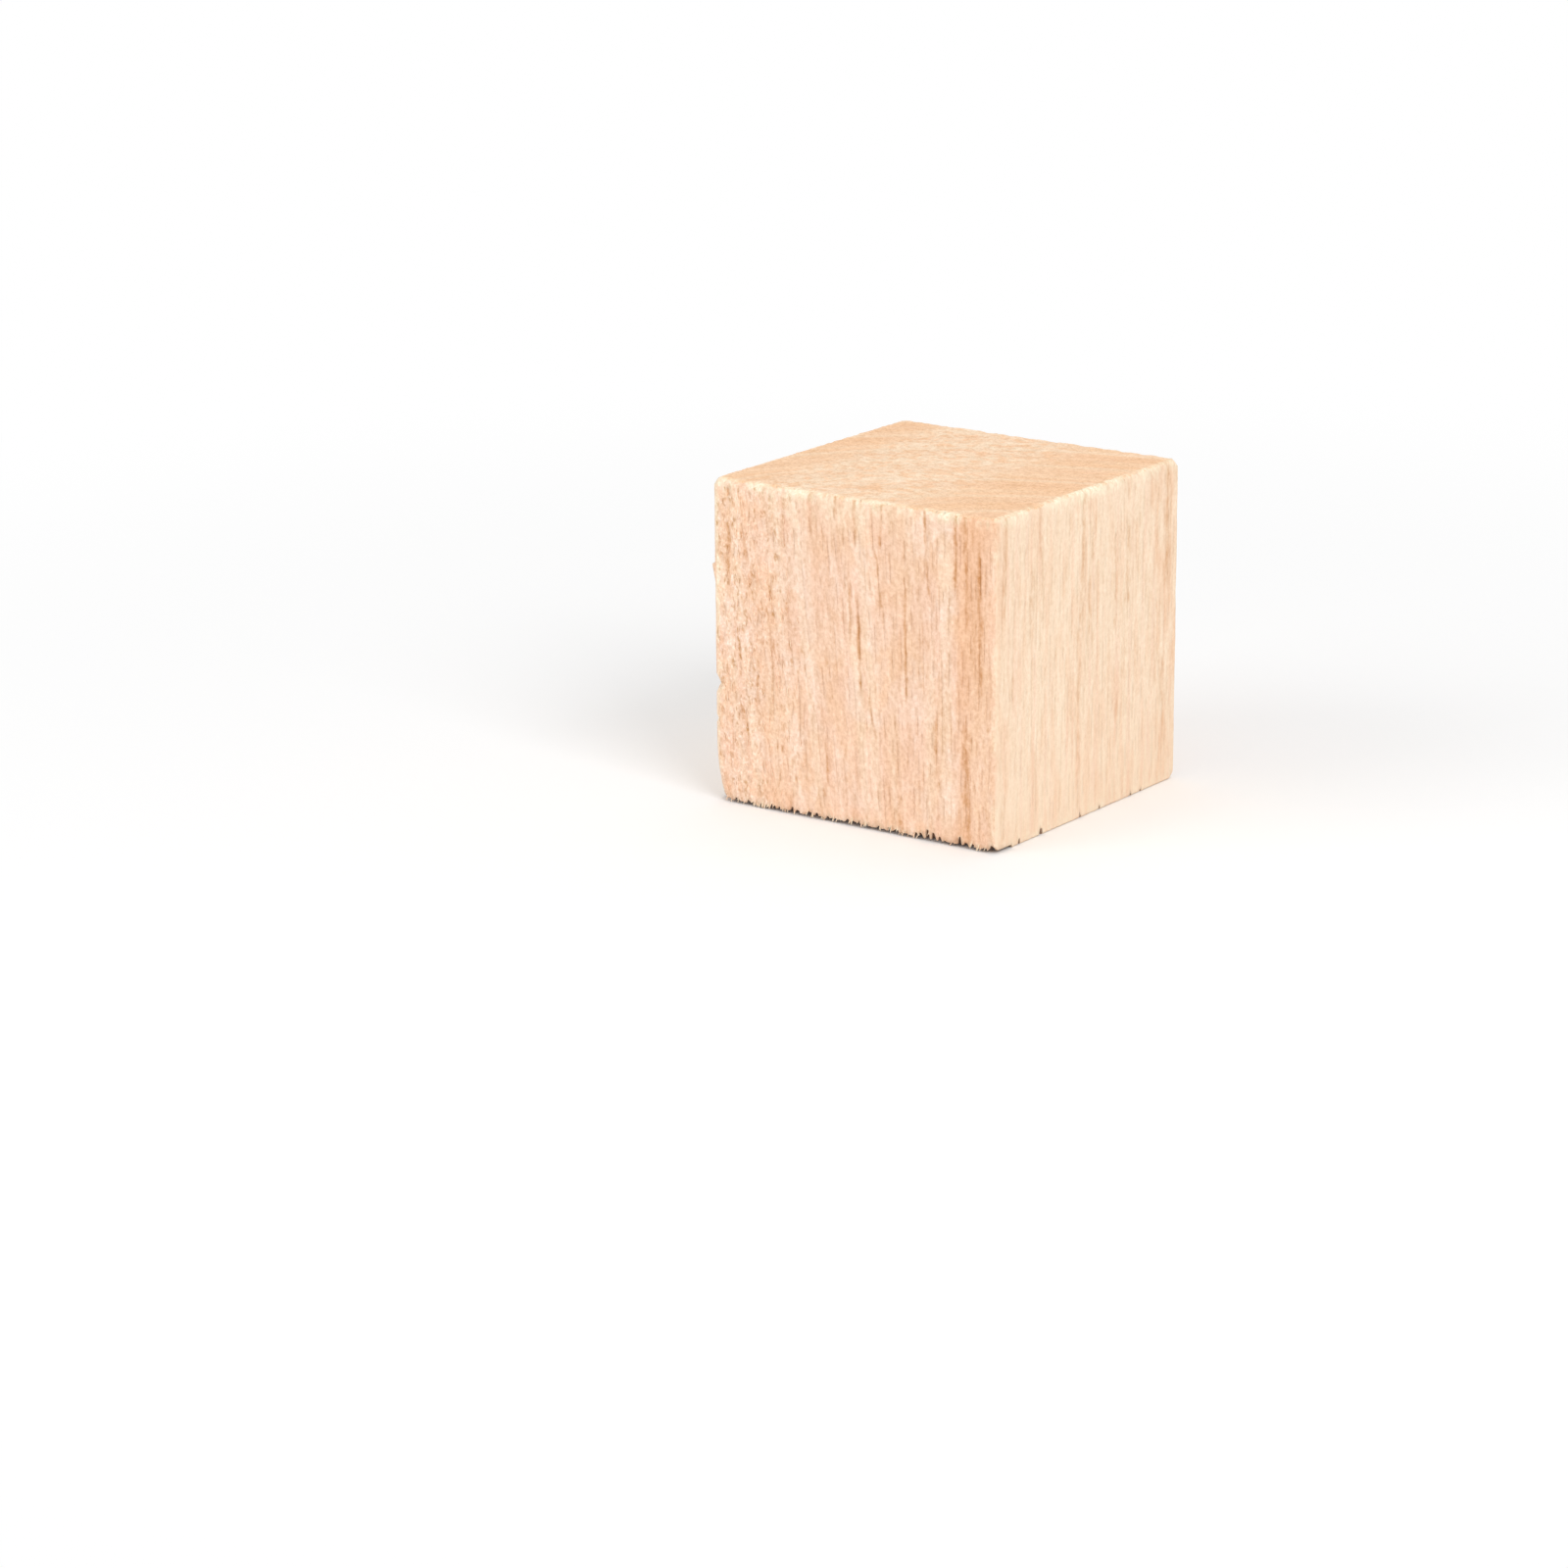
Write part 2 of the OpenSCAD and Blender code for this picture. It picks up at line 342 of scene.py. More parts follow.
class Meshing:
    """The points and fixed lines that one flat side is triangulated with."""

    def __init__(self, bm, side):
        self.side = side
        self.rim = [e for e in bm.edges if e.is_boundary and all(map(self.on_side, e.verts))]
        self.rim_verts = list({v: None for e in self.rim for v in e.verts})
        self.points = [side.flat(v.co) for v in self.rim_verts]
        self.heights = [None] * len(self.points)
        self.pores = [0.0] * len(self.points)
        index = {v: i for i, v in enumerate(self.rim_verts)}
        self.lines = [(index[e.verts[0]], index[e.verts[1]]) for e in self.rim]
        self.border = self.border_tree()

    def on_side(self, vert):
        return abs(vert.co.dot(self.side.normal) - self.side.level) < ON_SIDE

    def border_tree(self):
        """A tree of points along the rim, to tell how far a place is from it."""
        spots = []
        for edge in self.rim:
            a, b = (self.side.flat(v.co) for v in edge.verts)
            count = max(1, ceil((b - a).length / RIM_STEP))
            spots += [a.lerp(b, i / count) for i in range(count)]
        tree = KDTree(len(spots))
        for i, spot in enumerate(spots):
            tree.insert((*spot, 0), i)
        tree.balance()
        return tree

    def from_rim(self, at):
        return self.border.find((*at, 0))[2]

    def add(self, at, drop=0.0, pore=0.0):
        """Adds a point on the side's relief, or `drop` below it, and returns its number."""
        self.points.append(Vector(at))
        fade = smooth(self.from_rim(at), 0.0, RIM_FADE)
        self.heights.append(fade * self.side.relief(at, self.side) - drop)
        self.pores.append(pore)
        return len(self.points) - 1

    def run(self, numbers):
        """Fixes the lines from each of these points to the next."""
        self.lines += list(zip(numbers, numbers[1:]))

    def fill(self, bm, tag, number, pore_layer):
        """Puts the side's new triangles into the mesh."""
        stretch = self.side.step_v / self.side.step_u
        flat = [Vector((p[0], p[1] / stretch)) for p in self.points]
        coords, lines, triangles, origins, line_origins, _ = delaunay_2d_cdt(
            flat, self.lines, [], 0, 1e-9, True
        )
        verts = []
        for at, sources in zip(coords, origins):
            if sources and sources[0] < len(self.rim_verts):
                verts.append(self.rim_verts[sources[0]])
                continue
            place = Vector((at[0], at[1] * stretch))
            height = self.heights[sources[0]] if sources else -SINK
            vert = bm.verts.new(self.side.solid(place, height))
            vert[pore_layer] = self.pores[sources[0]] if sources else 0.0
            verts.append(vert)
        walls = {
            tuple(sorted(line))
            for line, sources in zip(lines, line_origins)
            if any(source < len(self.rim) for source in sources)
        }
        for corners in self.reach(triangles, walls, coords, stretch):
            face = bm.faces.new([verts[i] for i in corners])
            face[tag] = number

    def reach(self, triangles, walls, coords, stretch):
        """The side's own triangles: those reached from its middle without crossing the rim."""
        beside, seen = {}, set()
        for t, corners in enumerate(triangles):
            for line in lines_round(corners):
                beside.setdefault(line, set()).add(t)
            centre = sum((coords[i] for i in corners), Vector((0, 0))) / 3
            place = (centre[0], centre[1] * stretch)
            if self.from_rim(place) > RIM_DOUBT and self.side.covers(place):
                seen.add(t)
        waiting = list(seen)
        while waiting:
            for line in lines_round(triangles[waiting.pop()]) - walls:
                found = beside[line] - seen
                seen |= found
                waiting += found
        return [triangles[t] for t in sorted(seen)]


def lines_round(corners):
    """The lines round a triangle, each with its lower number first."""
    return {tuple(sorted(line)) for line in zip(corners, corners[1:] + corners[:1])}


class Room:
    """Keeps track of the places already taken on a side, in small cells."""

    def __init__(self, cell):
        self.cell = cell
        self.taken = set()

    def cells(self, middle, half):
        return range(int((middle - half) // self.cell), int((middle + half) // self.cell) + 1)

    def claim(self, at, half_u, half_v):
        """Takes the cells round a place, unless one of them is taken."""
        wanted = {(i, j) for i in self.cells(at[0], half_u) for j in self.cells(at[1], half_v)}
        if wanted & self.taken:
            return False
        self.taken |= wanted
        return True


# The darker streaks that stand out on a side: the distance from its left edge and the height
# at the upper end, the same two at the lower end, then the width and the strength
FRONT_STREAKS = [
    (2.3, 38.9, 2.3, 37.3, 0.8, 0.9),
    (2.4, 34.6, 2.1, 28.4, 0.5, 0.9),
    (4.2, 34.8, 4.6, 30.8, 0.7, 0.8),
    (5.5, 29.8, 5.5, 27.0, 0.5, 0.9),
    (3.7, 21.4, 3.9, 16.4, 0.5, 0.7),
    (2.5, 15.6, 3.3, 12.6, 0.5, 0.7),
    (6.2, 16.6, 6.4, 12.8, 0.5, 0.6),
    (14.2, 41.0, 14.2, 35.0, 0.5, 0.7),
    (17.7, 41.0, 17.7, 37.0, 0.5, 0.8),
    (20.4, 41.0, 20.6, 34.8, 0.5, 0.7),
    (19.6, 32.0, 20.0, 22.6, 0.4, 0.6),
    (20.9, 28.0, 21.3, 16.6, 0.5, 1.0),
    (24.3, 41.0, 24.1, 33.0, 0.4, 0.7),
    (23.4, 34.0, 24.5, 26.5, 0.4, 0.6),
    (27.5, 30.8, 27.9, 16.6, 0.4, 0.8),
    (30.3, 41.0, 30.9, 29.6, 0.4, 0.9),
    (22.5, 17.0, 23.5, 10.6, 0.4, 0.6),
    (32.1, 15.6, 31.9, 10.6, 0.6, 0.7),
    (26.7, 10.0, 27.1, 0.5, 0.8, 0.6),
    (16.7, 8.0, 16.1, 2.6, 0.6, 0.6),
    (34.5, 41.0, 34.8, 30.0, 0.6, 1.0),
    (36.1, 41.0, 36.3, 26.5, 0.5, 0.8),
    (36.0, 16.0, 36.6, 0.5, 1.0, 0.7),
    (38.0, 36.0, 38.3, 19.0, 0.6, 0.8),
]
RIGHT_STREAKS = [
    (2.1, 41.0, 1.4, 27.0, 0.9, 0.9),
    (3.4, 21.5, 3.4, 17.0, 0.8, 0.6),
    (7.6, 33.0, 7.4, 23.5, 1.0, 0.7),
    (9.2, 41.0, 9.8, 26.0, 1.0, 0.6),
    (18.7, 41.0, 18.2, 24.0, 0.8, 1.0),
    (17.6, 23.5, 17.8, 1.5, 0.8, 0.7),
    (21.1, 36.5, 20.3, 31.0, 0.9, 0.7),
    (19.7, 29.0, 20.2, 21.5, 0.9, 0.8),
    (25.7, 33.5, 25.7, 22.0, 0.9, 0.8),
    (28.5, 34.0, 28.3, 24.0, 0.9, 1.0),
    (26.2, 13.0, 26.1, 7.0, 0.8, 0.6),
    (37.5, 41.0, 37.0, 25.0, 1.2, 1.0),
    (36.0, 16.0, 37.2, 4.0, 0.9, 0.7),
    (1.9, 8.5, 1.6, 1.0, 1.2, 0.7),
]
STREAKS = {"front": FRONT_STREAKS, "right": RIGHT_STREAKS}
LEFT_EDGE = {"front": X_LEFT, "right": Y_FRONT}

# How many vessels each planed side gets at most, where their middles lie, and their sizes. The
# length is given by the mean and the spread of its logarithm
VESSELS = {"front": 330, "right": 260, "back": 200, "left": 200}
VESSEL_HALF_SPAN = X_RIGHT - 0.6
VESSEL_HEIGHTS = (0.6, Z_TOP - 0.5)
VESSEL_WIDTHS = (0.14, 0.36)
VESSEL_DEPTHS = (0.25, 0.45)
VESSEL_LOG_LENGTH = (1.3, 0.6)
LONGEST_VESSEL = 13.0
VESSEL_TILT = 0.015
# Those on the torn patch are shorter, and lie more at random
TORN_LENGTHS = (0.8, 2.4)
TORN_TILT = 0.22
# How far a vessel stays from the rim, and from the next one across and along the grain
RIM_GAP = 0.4
GAP_ACROSS, GAP_ALONG = 0.06, 0.15
VESSEL_CELL = 0.12
VESSEL_TRIES = 8
PROBES = 4
ON_STREAK = 0.4


def vessel_place(side, draw):
    """A place for a vessel on a side: on one of its streaks, or anywhere."""
    rows = STREAKS.get(side.name)
    if rows and draw.random() < ON_STREAK:
        upper_at, upper, lower_at, lower, width, _ = draw.choice(rows)
        v = draw.uniform(lower, min(upper, VESSEL_HEIGHTS[1]))
        u = lower_at + (upper_at - lower_at) * (v - lower) / (upper - lower)
        return LEFT_EDGE[side.name] + u + draw.gauss(0, 0.3 * width), v
    return draw.uniform(-VESSEL_HALF_SPAN, VESSEL_HALF_SPAN), draw.uniform(*VESSEL_HEIGHTS)


def cut_vessels(mesh, count, seed):
    """Cuts vessels that the plane opened: long narrow grooves with pointed ends."""
    side = mesh.side
    draw = random.Random(seed)
    room = Room(VESSEL_CELL)
    for _ in range(count * VESSEL_TRIES):
        if not count:
            break
        at = vessel_place(side, draw)
        torn = fuzz(at, side)
        if draw.random() < torn:
            length = draw.uniform(*TORN_LENGTHS)
        else:
            length = min(draw.lognormvariate(*VESSEL_LOG_LENGTH), LONGEST_VESSEL)
        width = draw.uniform(*VESSEL_WIDTHS)
        tilt = lean(at, side) + draw.gauss(0, VESSEL_TILT) + torn * draw.gauss(0, TORN_TILT)
        half = length / 2
        probes = range(-PROBES, PROBES + 1)
        spots = [(at[0] + tilt * half * k / PROBES, at[1] + half * k / PROBES) for k in probes]
        if not all(side.covers(spot) and mesh.from_rim(spot) > RIM_GAP for spot in spots):
            continue
        if not room.claim(at, width / 2 + abs(tilt) * half + GAP_ACROSS, half + GAP_ALONG):
            continue
        count -= 1
        depth = draw.uniform(*VESSEL_DEPTHS) * width
        groove(mesh, at, half, width / 2, tilt, depth, draw)


# Along a groove: the step between its points, its bend as a share of its half length, how far
# its points stray, and how dark its ends and edges are beside its floor
GROOVE_STEP = 0.7
BEND = 0.03
STRAY = 0.02
END_PORE = 0.2
EDGE_PORE = 0.3


def groove(mesh, at, half, reach, tilt, depth, draw):
    """Cuts one groove: two edges and a floor between them, which meet at both ends."""
    steps = max(2, ceil(half / GROOVE_STEP))
    left, right, floor = [], [], []
    bend = draw.uniform(-BEND, BEND) * half
    tone = draw.uniform(0.3, 1.0)
    for k in range(-steps, steps + 1):
        t = k / steps
        x = at[0] + tilt * half * t + bend * (1 - t * t) + draw.uniform(-STRAY, STRAY)
        y = at[1] + half * t
        wide = reach * (1 - t * t) ** 0.6 * draw.uniform(0.6, 1.1)
        if abs(k) == steps:
            end = mesh.add((x, y), pore=END_PORE * tone)
            left.append(end)
            right.append(end)
            floor.append(end)
            continue
        left.append(mesh.add((x - wide, y), pore=EDGE_PORE * tone))
        right.append(mesh.add((x + wide, y), pore=EDGE_PORE * tone))
        shade = tone * draw.uniform(0.6, 1)
        floor.append(mesh.add((x, y), depth * (1 - t * t) ** 0.4, pore=shade))
    for numbers in (left, right, floor):
        mesh.run(numbers)


# How many pits each sawn end gets at most, how far out they lie both ways, and their sizes
PITS = {"top": 2200, "bottom": 700}
PIT_FIELD = (X_RIGHT - 0.5, Y_BACK - 0.65)
PIT_RADII = (0.07, 0.15)
PIT_DEPTH = 1.3
PIT_EDGE_PORE = 0.6
PIT_CORNERS = 6
PIT_FROM_RIM = 0.35
PIT_GAP = 0.05
PIT_CELL = 0.1
PIT_TRIES = 3


def cut_pits(mesh, count, seed):
    """Opens the vessels at a sawn end, as small round pits."""
    draw = random.Random(seed)
    room = Room(PIT_CELL)
    for _ in range(count * PIT_TRIES):
        if not count:
            break
        at = tuple(draw.uniform(-reach, reach) for reach in PIT_FIELD)
        radius = draw.uniform(*PIT_RADII)
        if not mesh.side.covers(at) or mesh.from_rim(at) < PIT_FROM_RIM:
            continue
        if not room.claim(at, radius + PIT_GAP, radius + PIT_GAP):
            continue
        count -= 1
        turn = draw.uniform(0, pi)
        rim = []
        for k in range(PIT_CORNERS):
            angle = turn + k * 2 * pi / PIT_CORNERS
            spot = (at[0] + radius * cos(angle), at[1] + radius * sin(angle))
            rim.append(mesh.add(spot, pore=PIT_EDGE_PORE))
        mesh.run(rim + rim[:1])
        mesh.add(at, PIT_DEPTH * radius, pore=1.0)


# How far a point of the grid is shaken, and the room round it, both in steps of the grid
SHAKE_U, SHAKE_V = 0.3, 0.2
GRID_ROOM = 0.45
GRID_FROM_RIM = 0.25


def spread_points(mesh, seed):
    """Fills a side with an even, slightly shaken grid, finer across the grain."""
    side = mesh.side
    draw = random.Random(seed)
    taken = KDTree(len(mesh.points))
    for i, p in enumerate(mesh.points):
        taken.insert((p[0] / side.step_u, p[1] / side.step_v, 0), i)
    taken.balance()
    corners = [side.flat(v.co) for v in mesh.rim_verts]
    low = [min(c[i] for c in corners) for i in range(2)]
    high = [max(c[i] for c in corners) for i in range(2)]
    for i in range(int((high[0] - low[0]) / side.step_u)):
        for j in range(int((high[1] - low[1]) / side.step_v)):
            column = i + 0.5 + draw.uniform(-SHAKE_U, SHAKE_U)
            row = j + 0.5 * (i % 2) + 0.25 + draw.uniform(-SHAKE_V, SHAKE_V)
            at = (low[0] + column * side.step_u, low[1] + row * side.step_v)
            near = taken.find((at[0] / side.step_u, at[1] / side.step_v, 0))[2]
            if near > GRID_ROOM and mesh.from_rim(at) > GRID_FROM_RIM and side.covers(at):
                mesh.add(at)


# Fibres ---------------------------------------


def add_fibre(bm, path, width):
    """A tapered sliver of wood along a path: flat below, with a crest outwards."""
    ends = [bm.verts.new(path[0]), bm.verts.new(path[-1])]
    rings = []
    for i, point in enumerate(path[1:-1], start=1):
        wide = width / 2 * sin(pi * i / (len(path) - 1)) ** 0.5
        ways = (-FRONT.u, FRONT.u, FRONT.normal)
        rings.append([bm.verts.new(point + way * wide) for way in ways])
    faces = []
    for k in range(3):
        n = (k + 1) % 3
        faces.append(bm.faces.new((ends[0], rings[0][k], rings[0][n])))
        faces.append(bm.faces.new((ends[1], rings[-1][n], rings[-1][k])))
        for a, b in zip(rings, rings[1:]):
            faces.append(bm.faces.new((a[k], b[k], a[n])))
            faces.append(bm.faces.new((b[k], b[n], a[n])))
    return faces


# The fibres raised off the torn patch, and how deep in the wood their roots lie
RAISED = 260
RAISED_TRIES = 20
RAISED_SEED = 21
RAISED_X = (X_LEFT + 0.6, -5.0)
RAISED_Z = (1.6, Z_TOP - 1.1)
RAISED_LENGTHS = (0.4, 1.4)
RAISED_WIDTHS = (0.06, 0.12)
RAISED_HEIGHTS = (0.02, 0.08)
RAISED_HEADING = (0.08, 0.25)
RAISED_CURL = (0.0, 0.15)
RAISED_ROOT = 0.06
RAISED_POINTS = 7
RAISED_PALE = (0.1, 0.6)


def raise_fibres(bm, pale):
    """Lifts short fibres off the torn patch of the front."""
    draw = random.Random(RAISED_SEED)
    made = []
    for _ in range(RAISED * RAISED_TRIES):
        if len(made) == RAISED:
            break
        at = (draw.uniform(*RAISED_X), draw.uniform(*RAISED_Z))
        if draw.random() > fuzz(at, FRONT) or not FRONT.covers(at):
            continue
        length = draw.uniform(*RAISED_LENGTHS)
        heading = draw.gauss(*RAISED_HEADING)
        curl = draw.gauss(*RAISED_CURL)
        lift = draw.uniform(*RAISED_HEIGHTS)
        points = []
        for k in range(RAISED_POINTS):
            t = k / (RAISED_POINTS - 1)
            turn = heading + curl * (t - 0.5)
            along = length * (t - 0.5)
            spot = (at[0] - sin(turn) * along, at[1] + cos(turn) * along)
            arch = sin(pi * min(1.25 * t, 1.0) * 0.75)
            points.append(FRONT.solid(spot, (lift + RAISED_ROOT) * arch - RAISED_ROOT))
        if all(FRONT.covers(FRONT.flat(point)) for point in points):
            made.append(add_fibre(bm, points, draw.uniform(*RAISED_WIDTHS)))
    lighten(made, pale, RAISED_PALE, draw)


# The fibres that hang from the foot, how far above and below its edge they start and end, how
# far they hang to the left and outwards, and how deep in the wood their roots lie
HANGING = 110
HANGING_SEED = 22
HANGING_X = (X_LEFT + 1.6, X_RIGHT - 1.0)
HANGING_ABOVE = (0.2, 0.8)
HANGING_BELOW = (0.15, 0.75)
HANGING_LEFT = (0.05, 0.35)
HANGING_OUT = (-0.15, 0.1)
HANGING_WIDTHS = (0.10, 0.22)
HANGING_ROOT = 0.08
HANGING_POINTS = 6
HANGING_PALE = (0.2, 0.8)
# Some of them are in a tuft on the left, and few are over the tallest gaps
TUFT_SHARE = 0.2
TUFT_AT = -13.5
TUFT_SPREAD = 1.2
TALL_GAPS = (8.0, 16.0)
TALL_GAPS_SKIPPED = 0.6
FLOOR_CLEAR = 0.03


def hang_fibres(bm, pale):
    """Hangs torn fibres from the ragged foot of the front."""
    draw = random.Random(HANGING_SEED)
    made = []
    for _ in range(HANGING):
        if draw.random() < TUFT_SHARE:
            x = draw.gauss(TUFT_AT, TUFT_SPREAD)
        else:
            x = draw.uniform(*HANGING_X)
        if TALL_GAPS[0] < x < TALL_GAPS[1] and draw.random() < TALL_GAPS_SKIPPED:
            continue
        foot = foot_height(x)
        root = foot + draw.uniform(*HANGING_ABOVE)
        tip = max(FLOOR_CLEAR, foot - draw.uniform(*HANGING_BELOW))
        reach = draw.uniform(*HANGING_LEFT) * (root - tip)
        out = draw.uniform(*HANGING_OUT)
        points = []
        for k in range(HANGING_POINTS):
            t = k / (HANGING_POINTS - 1)
            spot = (x - reach * t * t, root + (tip - root) * t)
            points.append(FRONT.solid(spot, (out + HANGING_ROOT) * t - HANGING_ROOT))
        made.append(add_fibre(bm, points, draw.uniform(*HANGING_WIDTHS)))
    lighten(made, pale, HANGING_PALE, draw)


FOOT_FROM, FOOT_TO, FOOT_STEP = 0.1, 3.0, 0.05


def foot_height(x):
    """Height at which the front starts, going up from the floor."""
    foot = FOOT_FROM
    while not FRONT.covers((x, foot)) and foot < FOOT_TO:
        foot += FOOT_STEP
    return foot


def lighten(slivers, pale, levels, draw):
    """Gives each sliver a paleness of its own."""
    for faces in slivers:
        tone = draw.uniform(*levels)
        for face in faces:
            for vert in face.verts:
                vert[pale] = tone


# The whole cube -------------------------------

# The rounded edges are painted paler, partly as wear and partly as a painted highlight: palest at
# the top, and nearest to the front right corner, on the lit side
PALE_RISE = (Z_TOP - 1.5, Z_TOP - 0.7)
HIGHLIGHT_NEAR = (-6.0, 6.0)


def mark(bm, tag, pale):
    """Writes the values that the material reads from the mesh."""
    torn = bm.verts.layers.float.new("torn")
    for vert in bm.verts:
        flat = [face[tag] for face in vert.link_faces]
        if not all(flat):
            uneven = 0.5 + 0.7 * noise.noise(vert.co / 0.6) + 1.2 * noise.noise(vert.co / 3.5)
            uneven = min(max(uneven, 0.0), 1.0)
            # Painted highlight together with pale wear: the rounded edges are paler, most at the
            # top near the front right corner
            near = smooth(vert.co.x - vert.co.y, *HIGHLIGHT_NEAR)
            vert[pale] = uneven * (0.4 + 0.6 * near * smooth(vert.co.z, *PALE_RISE))
        if SIDES.index(FRONT) + 1 in flat:
            vert[torn] = fuzz(FRONT.flat(vert.co), FRONT)


UV_COLUMNS, UV_ROWS = 3, 2
# How much of a side's plane a cell takes in, a little more than the side itself
UV_SPAN = 43.0


def lay_out_uv(bm, tag):
    """Gives each side a cell of its own in the UV map."""
    layer = bm.loops.layers.uv.new("OFBake")
    for face in bm.faces:
        side_number = face[tag]
        if not side_number:
            facing = [face.normal.dot(side.normal) for side in SIDES]
            side_number = facing.index(max(facing)) + 1
        side = SIDES[side_number - 1]
        row, column = divmod(side_number - 1, UV_COLUMNS)
        middle = Z_TOP / 2 if side.v.z else 0.0
        for loop in face.loops:
            at = side.flat(loop.vert.co)
            across = column + 0.5 + at[0] / UV_SPAN
            up = row + 0.5 + (at[1] - middle) / UV_SPAN
            loop[layer].uv = (across / UV_COLUMNS, up / UV_ROWS)


CUT_SEED = 40
GRID_SEED = 60
WELD = 0.002
SHARP = radians(50)


def dress(bm):
    """Turns the CAD cube, in millimetres, into the finished one."""
    tag = find_flats(bm)
    pore = bm.verts.layers.float.new("pore")
    slice_edges(bm, tag)
    thin_out(bm)
    for number, side in enumerate(SIDES, start=1):
        mesh = Meshing(bm, side)
        if side.name in VESSELS:
            cut_vessels(mesh, VESSELS[side.name], CUT_SEED + number)
        else:
            cut_pits(mesh, PITS[side.name], CUT_SEED + number)
        spread_points(mesh, GRID_SEED + number)
        mesh.fill(bm, tag, number, pore)
    bmesh.ops.holes_fill(bm, edges=[e for e in bm.edges if e.is_boundary], sides=0)
    bmesh.ops.triangulate(bm, faces=[f for f in bm.faces if len(f.verts) > 3])
    bm.normal_update()
    rub_edges(bm, tag)
    pale = bm.verts.layers.float.new("pale")
    mark(bm, tag, pale)
    raise_fibres(bm, pale)
    hang_fibres(bm, pale)
    bm.normal_update()
    lay_out_uv(bm, tag)


def make_cube():
    """The visible cube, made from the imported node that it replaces."""
    bm = bmesh.new()
    bm.from_mesh(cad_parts["cube"].data)
    bmesh.ops.remove_doubles(bm, verts=bm.verts, dist=WELD * MM)
    bmesh.ops.scale(bm, vec=(1 / MM, 1 / MM, 1 / MM), verts=bm.verts)
    bm.normal_update()
    dress(bm)
    bmesh.ops.scale(bm, vec=(MM, MM, MM), verts=bm.verts)
    data = bpy.data.meshes.new("wooden_cube")
    bm.to_mesh(data)
    bm.free()
    data.shade_smooth()
    data.set_sharp_from_angle(angle=SHARP)
    cube = bpy.data.objects.new("wooden_cube", data)
    bpy.context.collection.objects.link(cube)
    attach(cube, "root")
    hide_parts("cube")
    return cube


# Nodes of a material --------------------------


class Graph:
    """Short ways to add and link the nodes of a material or of the world."""

    def __init__(self, owner):
        owner.use_nodes = True
        self.tree = owner.node_tree

    def put(self, socket, value):
        """Links a socket to another one, or sets its value."""
        if isinstance(value, bpy.types.NodeSocket):
            self.tree.links.new(value, socket)
        elif hasattr(value, "__len__") and len(socket.default_value) == len(value) + 1:
            socket.default_value = (*value, 1)
        else:
            socket.default_value = value

    def node(self, kind, inputs=(), **settings):
        made = self.tree.nodes.new("ShaderNode" + kind)
        for name, value in settings.items():
            setattr(made, name, value)
        for name, value in dict(inputs).items():
            self.put(made.inputs[name], value)
        return made

    def math(self, operation, *values):
        return self.node("Math", enumerate(values), operation=operation).outputs[0]

    def product(self, first, *others):
        for value in others:
            first = self.math("MULTIPLY", first, value)
        return first

    def vector(self, operation, *values):
        made = self.node("VectorMath", enumerate(values), operation=operation)
        one_number = operation in ("LENGTH", "DISTANCE", "DOT_PRODUCT")
        return made.outputs["Value" if one_number else "Vector"]

    def split(self, vector):
        return self.node("SeparateXYZ", {"Vector": vector}).outputs

    def join(self, **parts):
        return self.node("CombineXYZ", parts).outputs[0]

    def smooth(self, value, low, high, start=0.0, end=1.0):
        """Goes from start to end, with soft ends, as the value goes from low to high."""
        inputs = {"Value": value, "From Min": low, "From Max": high, "To Min": start, "To Max": end}
        return self.node("MapRange", inputs, interpolation_type="SMOOTHSTEP").outputs[0]

    def noise(self, at, size, detail=2.0):
        """Noise whose blobs have the given size in millimetres along X, Y and Z."""
        scaled = self.vector("DIVIDE", at, size)
        inputs = {"Vector": scaled, "Scale": 1.0, "Detail": detail, "Roughness": 0.5}
        return self.node("TexNoise", inputs).outputs["Fac"]

    def blobs(self, at, size, low, high, start=0.0, end=1.0, detail=2.0):
        """Noise made plainer: start where it is below low, and end where it is above high."""
        return self.smooth(self.noise(at, size, detail), low, high, start, end)

    def mix(self, share, first, second):
        made = self.node("Mix", data_type="RGBA")
        self.put(made.inputs["Factor"], share)
        a, b = [i for i in made.inputs if i.type == "RGBA"]
        self.put(a, first)
        self.put(b, second)
        return [o for o in made.outputs if o.type == "RGBA"][0]

    def attribute(self, name):
        return self.node("Attribute", attribute_name=name).outputs["Fac"]

    def showing(self):
        """1 for rays that show the background, by way of gloss or glass too, and 0 for light."""
        path = self.node("LightPath").outputs
        seen = self.math("MAXIMUM", path["Is Camera Ray"], path["Is Glossy Ray"])
        return self.math("MAXIMUM", seen, path["Is Transmission Ray"])


class Surface(Graph):
    """A new material with one Principled shader."""

    def __init__(self, name, roughness, specular):
        self.material = bpy.data.materials.new(name)
        super().__init__(self.material)
        self.shader = self.tree.nodes["Principled BSDF"]
        self.shader.inputs["Roughness"].default_value = roughness
        self.shader.inputs["Specular IOR Level"].default_value = specular


# Wood -----------------------------------------

CREAM = (0.99, 0.785, 0.585)
PEACH = (0.94, 0.63, 0.43)
PINK = (0.94, 0.635, 0.465)
BLOOM = (0.98, 0.745, 0.60)
GOLD = (0.95, 0.61, 0.36)
ORANGE = (0.90, 0.53, 0.32)
# Pale fresh wood, and on the rounded edges a painted highlight too
FRESH_AND_HIGHLIGHT = (1.0, 0.90, 0.68)
# Painted shade: the near-black that darkens the recesses of the tear and of the nicks
RECESS_SHADE = (0.13, 0.05, 0.022)
# How far red, green and blue follow when the wood turns lighter or darker
TONE = (0.48, 0.72, 1.0)
TONE_RANGE = (-0.75, 0.5)

# The growth rings: their centre, their spacing, the radius of the dark one on the front, and
# the direction along them on the sawn ends
PITH = (31.5, -34.0)
RING_PITCH = 8.0
DARK_RING = 19.0
ALONG_RINGS = (0.81, 0.59, 0.0)

# How squarely a face looks along an axis where a side's own look starts and where it is full
FACING = (0.6, 0.8)

